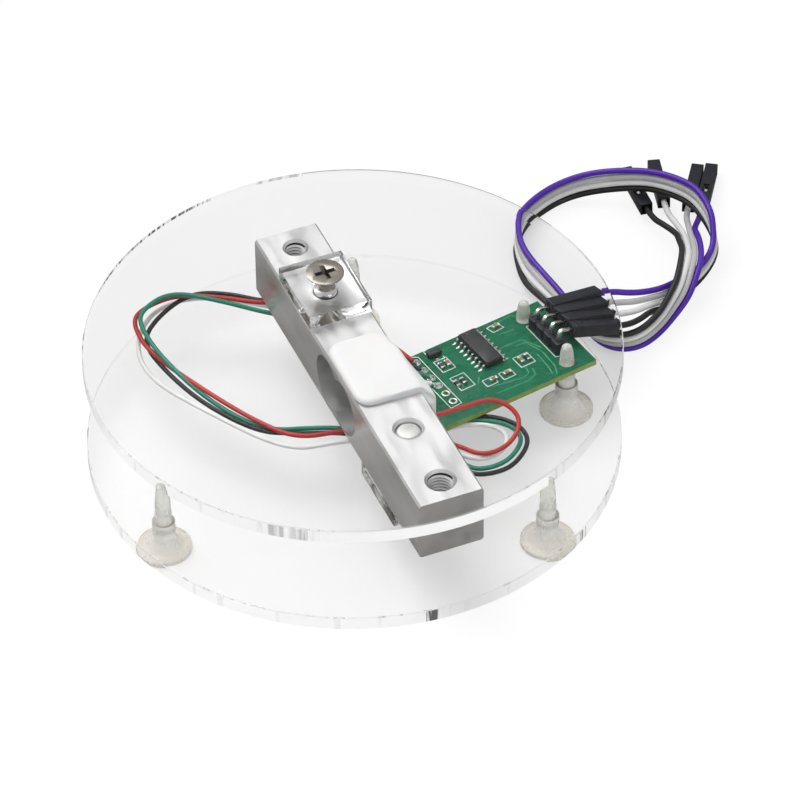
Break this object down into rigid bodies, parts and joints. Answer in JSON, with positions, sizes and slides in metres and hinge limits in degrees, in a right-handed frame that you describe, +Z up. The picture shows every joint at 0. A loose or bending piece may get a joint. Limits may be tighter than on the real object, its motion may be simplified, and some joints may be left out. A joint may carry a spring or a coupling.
{
  "type": "digital load cell",
  "caption": "Bar load cell between two clear round plates, with its converter board, leads and jumper wires, for weighing what is set on the upper plate.",
  "frame": {"origin": "on the floor under the middle of the two round plates", "axes": "+Z up, square to the plates; the bar lies along Y and the board is at +X"},
  "size_m": [0.149, 0.1074, 0.0317],
  "materials": {
    "clear_acrylic": "polished clear plate with bright sawn edges",
    "machined_aluminium": "satin, lightly brushed",
    "nickel_steel": "nickel plated, satin",
    "milky_nylon": "milky, smooth",
    "gauge_foil": "thin foil on film",
    "white_silicone": "matte, soft edges",
    "green_board": "glossy green lacquer",
    "black_epoxy": "fine matte moulding",
    "tinned_metal": "bright tin",
    "dark_resistor": "dark with metal ends",
    "brown_ceramic": "brown with metal ends",
    "black_moulding": "satin moulding",
    "solder": "bright solder",
    "purple_wire": "smooth insulation",
    "grey_wire": "smooth insulation",
    "white_wire": "smooth insulation",
    "black_wire": "smooth insulation",
    "red_lead": "smooth insulation",
    "black_lead": "smooth insulation",
    "green_lead": "smooth insulation",
    "white_lead": "smooth insulation"
  },
  "bodies": {
    "root": {"bottom_disc": "clear_acrylic", "top_disc": "clear_acrylic", "lower_spacer_block": "clear_acrylic", "upper_spacer_block": "clear_acrylic", "load_cell_bar": "machined_aluminium", "upper_screw": "nickel_steel", "lower_screw": "nickel_steel", "foot_rear": "milky_nylon", "foot_left": "milky_nylon", "foot_right": "milky_nylon", "board_post_far": "milky_nylon", "board_post_near": "milky_nylon", "top_strain_gauges": "gauge_foil", "bottom_strain_gauges": "gauge_foil", "silicone_cover": "white_silicone", "circuit_board": "green_board", "converter_chip": "black_epoxy", "chip_leads": "tinned_metal", "transistor": "black_epoxy", "chip_resistors": "dark_resistor", "chip_capacitors": "brown_ceramic", "header_pins": "tinned_metal", "header_block": "black_moulding", "solder_joints": "solder", "board_contacts": "tinned_metal", "free_contacts": "tinned_metal", "board_socket_purple": "black_moulding", "free_socket_purple": "black_moulding", "jumper_wire_purple": "purple_wire", "board_socket_grey": "black_moulding", "free_socket_grey": "black_moulding", "jumper_wire_grey": "grey_wire", "board_socket_white": "black_moulding", "free_socket_white": "black_moulding", "jumper_wire_white": "white_wire", "board_socket_black": "black_moulding", "free_socket_black": "black_moulding", "jumper_wire_black": "black_wire", "lead_red": "red_lead", "lead_black": "black_lead", "lead_green": "green_lead", "lead_white": "white_lead"}
  },
  "joints": []
}
